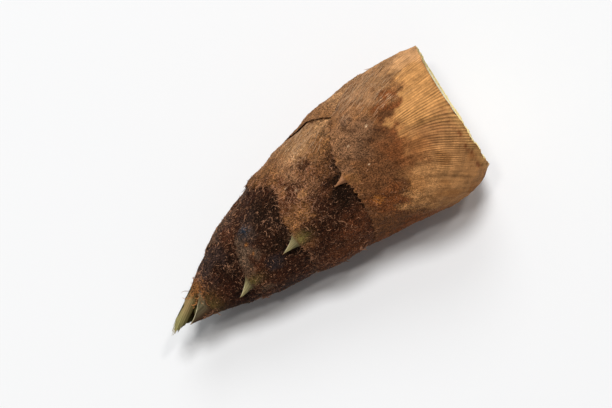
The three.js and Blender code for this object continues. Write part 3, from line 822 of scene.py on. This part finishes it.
def heartColor(points, capShare):  # cream, yellower towards the rim, with brown blotches, and a brown side
    blotch = waves(9, 404, points[:, 1], points[:, 2])
    fine = waves(2.5, 405, points[:, 1], points[:, 2])
    color = np.ones(points.shape) * tones["cream"]
    color = mixed(color, tones["rimYellow"], 0.7 * smoothStep(capShare + 0.05 * blotch, 0.7, 1.0))
    blotched = 0.55 * smoothStep(blotch + 0.4 * fine, 0.9, 2.2) * smoothStep(capShare, 0.3, 0.9)
    color = mixed(color, tones["rimBrown"], blotched)
    return mixed(color, tones["honey"], 0.8 * smoothStep(capShare + 0.012 * fine, 0.965, 1.0))


def makeHeart():
    # a lathed solid: its side in rows along the axis, then a cap of rings on the slanted cut, with the low
    # waves of the knife across it
    feet = np.array([leaf["foot"] + heart["ledge"] for leaf in leaves if leaf["foot"]])
    evenly = np.linspace(heart["tip"] + 1.5, heart["sideEnd"], heart["sideRows"])
    along = np.sort(np.concatenate([evenly, feet, feet - 0.01]))
    angles = np.linspace(0, 360, heart["columns"], endpoint=False)[None, :]
    sideT = along[:, None] + 0 * angles
    sidePlace = pointAt(sideT, angles, heartRadius(sideT))[0]
    sideEnd = cutDistance(angles, heartRadius(np.full((1, 1), shoot["cutLength"])))
    share = (np.arange(heart["capRings"], -1, -1) / heart["capRings"])[:, None]
    capRadius = heartRadius(sideEnd - 0.5) * share
    capPlace, side, up = pointAt(cutDistance(angles, capRadius), angles, capRadius)
    kerf = heart["kerf"] * waves(5, 401, side * 0.3 + up)
    kerf = kerf + 0.05 * waves(1.2, 402, side * 0.25 + up) + 0.06 * waves(4, 403, side, up)
    capPlace[..., 0] += kerf * smoothStep(share, 1.0, 0.93)
    tipPlace = pointAt(np.full((1, 1), heart["tip"]), np.zeros((1, 1)), np.zeros((1, 1)))[0]
    grid = np.concatenate([sidePlace, capPlace[:-1]])
    points = np.concatenate([grid.reshape(-1, 3), tipPlace.reshape(-1, 3), capPlace[-1:, :1].reshape(-1, 3)])
    rows, columns = grid.shape[:2]
    number = np.arange(rows * columns).reshape(rows, columns)
    turnedOn = np.roll(number, -1, axis=1)
    quads = np.stack([number[:-1], turnedOn[:-1], turnedOn[1:], number[1:]], -1).reshape(-1, 4)
    first = np.stack([np.full(columns, number.size), turnedOn[0], number[0]], -1)
    last = np.stack([np.full(columns, number.size + 1), number[-1], turnedOn[-1]], -1)
    capShare = np.concatenate([np.ones(sideT.size), np.repeat(share[:-1, 0], columns), [1, 0]])
    piece = makePiece("heart", points, [quads, first, last], flesh, heartColor(points, capShare))
    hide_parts("shoot_heart")


makeHeart()
print("heart made")


def onFelt(k, here):  # all over the shown skin, none on blades, few where the husk is bare and in one hollow
    amount = smoothStep(here["exposed"], -0.5, 1.5) * (here["bladeShare"] <= 0) * here["felt"]
    return amount * (1 - 0.85 * spot(here["t"], here["angle"], 123, 8, 5, 11)) if k == 3 else amount


def onShaggy(k, here):  # longer hair on the upper half of the shoot, and beside the outermost blade
    clumped = 0.55 + 0.45 * smoothStep(waves(9, 700, here["t"], here["angle"] * 0.5), -0.8, 0.8)
    amount = (1 - smoothStep(here["t"], 104, 128)) * clumped
    if k == 1:
        amount = amount + spot(here["t"], here["angle"], 138, -20, 9, 16)
    return (0.4 if k in (5, 7) else 1) * onFelt(k, here) * amount


def nearCover(k, here):  # thickest along the edge of the leaf above
    amount = smoothStep(here["exposed"], -0.5, 1) * np.exp(-np.maximum(here["exposed"], 0) / 5)
    return amount * (here["bladeShare"] <= 0) * (here["exposed"] < 25)


def onEdge(k, here):  # a fringe along the top edge beside the blade
    patchy = smoothStep(waves(9, 710 + k, here["t"], here["angle"] * 0.6), -0.5, 1.2)
    amount = smoothStep(here["exposed"], 0, 2) * np.exp(-np.maximum(here["below"], 0) / 1.5)
    return amount * (here["across"] > 0.7) * (0.15 + patchy)


# Tufts of longer hair by leaf: distance, degrees, half size in both, strength
tufts = {
    3: [(96, 44, 3, 8, 1.0), (91, 24, 3, 8, 0.8), (92, 62, 3, 10, 0.6), (130, 31, 4, 4, 0.7),
        (94, 46, 4, 10, 1.2), (99, 26, 5, 6, 1.0), (97, 14, 5, 7, 0.5), (88, -36, 4, 8, 1.0),
        (104, 10, 4, 6, 0.6), (105, 34, 10, 20, 0.9), (112, 44, 7, 12, 0.25)],
    5: [(82, 17, 4, 5, 1), (86, 4, 3, 5, 0.8), (92, 30, 5, 10, 0.8), (60, -30, 4, 10, 0.5)],
    7: [(48, 14, 4, 6, 1), (45, 22, 3, 5, 0.7), (30, 50, 2.5, 18, 2.0)],
}


def onTufts(k, here):  # and along the lower margin of leaf 7's blade
    amount = sum(strength * spot(here["t"], here["angle"], tuftT, tuftAngle, sizeT, sizeAngle)
                 for tuftT, tuftAngle, sizeT, sizeAngle, strength in tufts[k])
    amount = amount * smoothStep(here["exposed"], -0.5, 0.5) * (here["bladeShare"] <= 0)
    if k == 7:
        amount = amount + 1.5 * (here["bladeShare"] > 0) * (here["angle"] < -30) * (here["across"] < 1.9)
    return amount


def onTop(k, here):  # round the foot of the top blades
    zone = spot(here["t"], here["angle"], 24.5, 42, 4.5, 34)
    return smoothStep(here["exposed"], -1, 0) * zone * (here["bladeShare"] < 0.35)


def onCombed(k, here):  # where the fibres of the two outermost leaves of the row stand out as pale threads
    zone = (169, 68, 13, 17) if k == 1 else (127, 73, 7, 16)
    return smoothStep(here["exposed"], 0.5, 3) * spot(here["t"], here["angle"], *zone)


# Strands, in millimetres. Density is how many a square millimetre has. Lean, spread, bend and curl turn them
# sideways, in radians, rise and droop are slopes off the skin, and toned is how far they take the tone.
usualStrand = dict(lengthSpread=0.35, tone="rust", lean=0, combed=False)
strandStyles = dict(
    feltHairs=dict(usualStrand, where=onFelt, leaves=(1, 2), seed=11, density=0.8, length=1.5, width=0.11,
                   segments=1, spread=0.8, bend=0, curl=0, rise=0.25, droop=0, tone="hazel", toned=0.3,
                   contrast=0.7, lighter=0.05),
    bristles=dict(usualStrand, where=onFelt, leaves=(3, 4, 5, 6, 7, 8), seed=12, density=0.5, length=2.0,
                  width=0.13, segments=2, spread=0.9, bend=1.6, curl=0, rise=0.3, droop=0.3, toned=0.3,
                  contrast=0.6, lighter=0.2),
    shaggyHairs=dict(usualStrand, where=onShaggy, leaves=(1, 3, 4, 5, 6, 7), seed=13, density=0.4,
                     length=3.3, width=0.23, segments=4, spread=1.3, bend=2.2, curl=2.0, rise=0.5,
                     droop=0.6, toned=0.5, contrast=0.85, lighter=0.33),
    coverHairs=dict(usualStrand, where=nearCover, leaves=(2, 3, 4, 5, 6, 7, 8), seed=15, density=0.9,
                    length=2.8, lengthSpread=0.4, width=0.14, segments=3, spread=0.9, bend=1.4, curl=0.8,
                    rise=0.6, droop=0.6, toned=0.4, contrast=0.7, lighter=0.2),
    fringe=dict(usualStrand, where=onEdge, leaves=(1, 2, 3, 4, 5, 6, 7), seed=16, density=1.8, length=2.2,
                lengthSpread=0.4, width=0.12, segments=3, spread=0.9, bend=1.4, curl=0.6, rise=0.2,
                droop=0.4, toned=0.4, contrast=0.7, lighter=0.05),
    tufts=dict(usualStrand, where=onTufts, leaves=(3, 5, 7), seed=18, density=1.15, length=3.6, width=0.26,
               segments=4, spread=1.0, bend=1.6, curl=1.8, rise=0.9, droop=0.9, toned=0.6, contrast=0.8,
               lighter=0.75),
    curlyHairs=dict(usualStrand, where=onTop, leaves=(7, 8), seed=17, density=2.6, length=3.8, width=0.22,
                    segments=6, spread=1.2, bend=1.6, curl=1.8, rise=0.5, droop=0.6, tone="honey",
                    toned=0.95, contrast=0.6, lighter=0.5),
    threads=dict(usualStrand, where=onCombed, leaves=(1, 3), seed=19, density=0.36, length=6.0,
                 lengthSpread=0.3, width=0.21, segments=3, spread=0.03, lean=0.3, combed=True, bend=0.05,
                 curl=0, rise=0.0, droop=0.01, tone="paleFibre", toned=0.8, contrast=0.3, lighter=0.8),
)
brightest = 0.5  # no strand is lighter


def unit(v):
    return v / np.maximum(np.linalg.norm(v, axis=-1, keepdims=True), 1e-9)


def rootsOn(k, style, chance):
    # random places, by area and the style's amount: place, way to the shoot's tip, normal and colour
    surface = leafSurfaces[k]
    skin = surface["skin"]
    corner = {key: value[:-1, :-1] for key, value in surface.items()}
    tipWay = corner["skin"] - skin[1:, :-1]
    roundWay = skin[:-1, 1:] - corner["skin"]
    downWay = skin[1:, :-1] - corner["skin"]
    normal = np.cross(roundWay, -tipWay)
    weight = np.linalg.norm(normal, axis=-1) * style["where"](k, corner)
    if style["combed"]:  # along the fibres, the way in which their number stays the same
        fan = surface["fan"]
        fanRound, fanTip = fan[:-1, 1:] - fan[:-1, :-1], fan[:-1, :-1] - fan[1:, :-1]
        tipWay = tipWay * fanRound[..., None] - roundWay * fanTip[..., None]
    total = np.cumsum(weight.ravel())
    count = int(chance.poisson(total[-1] * style["density"]))
    cell = np.searchsorted(total, chance.random(count) * total[-1])
    within = chance.random((2, count, 1))

    def atRoots(grid):
        return grid.reshape(-1, 3)[cell]

    place = atRoots(corner["skin"]) + within[0] * atRoots(roundWay) + within[1] * atRoots(downWay)
    return place, atRoots(tipWay), atRoots(normal), atRoots(corner["color"])


def strandFaces(count, segments):  # of three sided strands: the tips, the roots and the walls between
    perStrand = 3 * segments + 1
    offset = (np.arange(count) * perStrand)[:, None, None]
    three = np.arange(3)
    nextOne = (three + 1) % 3
    lastRing = 3 * (segments - 1)
    tips = np.stack([three + lastRing, nextOne + lastRing, np.full(3, perStrand - 1)], -1)
    faces = [(offset + tips).reshape(-1, 3), (offset + np.array([[0, 2, 1]])).reshape(-1, 3)]
    if segments > 1:
        wall = np.stack([three, nextOne, nextOne + 3, three + 3], -1)
        walls = np.concatenate([wall + 3 * n for n in range(segments - 1)])
        faces.append((offset + walls).reshape(-1, 4))
    return faces


def growStrands(name, style):
    # a path leaves the skin, heads for the tip of the shoot, bends sideways and falls, and carries a three
    # sided section that narrows to a point
    chance = np.random.default_rng(style["seed"])
    parts = [rootsOn(k, style, chance) for k in style["leaves"]]
    root, tipWay, normal, tint = (np.concatenate(column) for column in zip(*parts))
    count, segments = len(root), style["segments"]

    def evenly(low, high):  # one random number a strand
        return chance.uniform(low, high, (count, 1))

    def scattered():  # the same, round 0 with a spread of 1
        return chance.normal(size=(count, 1))

    outward, forward = unit(normal), unit(tipWay)
    sideways = np.cross(forward, outward)
    length = style["length"] * np.exp(style["lengthSpread"] * scattered())
    q = (np.arange(segments) + 0.5)[None, :] / segments
    heading = style["lean"] + style["spread"] * scattered() + style["bend"] * scattered() * q
    curl = style["curl"] * scattered()
    heading = heading + curl * np.sin(2 * np.pi * (q * evenly(0.5, 1.4) + evenly(0, 1)))
    rise = style["rise"] * evenly(0.3, 1.7) - style["droop"] * q
    step = np.cos(heading)[..., None] * forward[:, None] + np.sin(heading)[..., None] * sideways[:, None]
    step = step + rise[..., None] * outward[:, None]
    walked = np.cumsum(unit(step) * (length / segments)[..., None], 1)
    path = np.concatenate([np.zeros((count, 1, 3)), walked], 1)
    path = path + (root - 0.05 * outward)[:, None]
    path[..., 2] = np.maximum(path[..., 2], 0.1)
    narrowing = 1 - 0.6 * (np.arange(segments) / segments)[None, :] ** 2
    width = (style["width"] * evenly(0.6, 1.4) * narrowing)[..., None, None]
    turns = 2 * np.pi * np.arange(3)[:, None] / 3 + 0.5
    last = np.concatenate([heading[:, :1], heading[:, :-1]], 1)
    flatSide = np.sin(last)[..., None] * -forward[:, None] + np.cos(last)[..., None] * sideways[:, None]
    ring = np.cos(turns) * flatSide[:, :, None] + np.sin(turns) * outward[:, None, None]
    ring = path[:, :-1, None] + width * ring
    points = np.concatenate([ring.reshape(count, -1, 3), path[:, -1:]], 1)

    color = mixed(tint, tones[style["tone"]], style["toned"] * chance.uniform(0.4, 1.3, count))
    color = color * np.exp(style["contrast"] * scattered() + style["lighter"])
    color = color * np.minimum(1, brightest / color.max(1, keepdims=True))
    faces = strandFaces(count, segments)
    piece = makePiece(name, points.reshape(-1, 3), faces, bristle, np.repeat(color, points.shape[1], axis=0))
    print(name, count, "strands", sum(len(f) * (f.shape[1] - 2) for f in faces), "triangles")


for name, style in strandStyles.items():
    growStrands(name, style)


# Floor, world and lamps: way is the direction over the floor, height the degrees above it
studio = dict(floorSize=3.0, floorColor=(0.866, 0.880, 0.900), worldLight=0.15, worldColor=(1.0, 0.99, 0.98),
              seenWorld=0.93)
lamps = dict(
    softbox=dict(way=(0.4, 1.0), height=76, distance=6.0, size=1.5, power=212.0, color=(0.995, 0.99, 0.98)),
    ceiling=dict(way=(-0.95, 0.3), height=75, distance=6.0, size=0.5, power=42.0, color=(1.0, 0.95, 0.9)),
    skylight=dict(way=(0.95, 0.1), height=73, distance=6.0, size=0.5, power=42.0, color=(1.0, 0.95, 0.9)),
    window=dict(way=(0.45, 1.0), height=48, distance=8.0, size=4.0, power=132.0, color=(0.98, 0.99, 0.99)),
)


def makeFloor():
    half = studio["floorSize"] / 2
    mesh = bpy.data.meshes.new("floor")
    corners = [(-half, -half, 0), (half, -half, 0), (half, half, 0), (-half, half, 0)]
    mesh.from_pydata(corners, [], [(0, 1, 2, 3)])
    floor = bpy.data.objects.new("floor", mesh)
    bpy.context.scene.collection.objects.link(floor)
    material, tree, shader = newMaterial("paleFloor")
    shader.inputs["Base Color"].default_value = (*studio["floorColor"], 1)
    shader.inputs["Roughness"].default_value = 0.9
    shader.inputs["Specular IOR Level"].default_value = 0.0
    mesh.materials.append(material)


def makeWorld():  # weak on the shoot, pale where the camera sees it
    world = bpy.data.worlds.new("studio")
    bpy.context.scene.world = world
    world.use_nodes = True
    tree = world.node_tree
    rays = addNode(tree, "LightPath")
    seen = calculated(tree, "MAXIMUM", rays["Is Camera Ray"], rays["Is Transmission Ray"])
    background = tree.nodes["Background"]
    strength = ranged(tree, seen, studio["worldLight"], studio["seenWorld"])
    tree.links.new(strength, background.inputs["Strength"])
    background.inputs["Color"].default_value = (*studio["worldColor"], 1)


def makeLamp(name, facts):
    lamp = bpy.data.lights.new(name, "AREA")
    lamp.shape = "DISK"
    lamp.size = facts["size"]
    lamp.energy = facts["power"]
    lamp.color = facts["color"]
    light = bpy.data.objects.new(name, lamp)
    height = np.radians(facts["height"])
    way = Vector((*facts["way"], 0)).normalized() * np.cos(height) + Vector((0, 0, np.sin(height)))
    light.location = way * facts["distance"]
    light.rotation_euler = way.to_track_quat("Z", "Y").to_euler()
    bpy.context.scene.collection.objects.link(light)


view = dict(turn=-38.78, height=78.0, distance=0.9, lens=93.49, aim=(0.00028, 0.00417, 0.0360),
            aimShift=(-0.00446, 0.0022))


def makeCamera():  # looks down on the shoot from its tip's side, a little turned
    turn, height = np.radians(view["turn"]), np.radians(view["height"])
    back = Vector((np.sin(turn) * np.cos(height), -np.cos(turn) * np.cos(height), np.sin(height)))
    right = Vector((np.cos(turn), np.sin(turn), 0))
    up = back.cross(right)
    target = Vector(view["aim"]) + right * view["aimShift"][0] + up * view["aimShift"][1]
    camera = bpy.data.objects.new("camera", bpy.data.cameras.new("camera"))
    camera.data.lens = view["lens"]
    camera.data.sensor_width = 36
    camera.location = target + back * view["distance"]
    camera.rotation_euler = back.to_track_quat("Z", "Y").to_euler()
    bpy.context.scene.collection.objects.link(camera)
    bpy.context.scene.camera = camera


makeFloor()
makeWorld()
for name, facts in lamps.items():
    makeLamp(name, facts)
makeCamera()
bpy.context.scene.view_settings.view_transform = "Standard"
print("studio made")
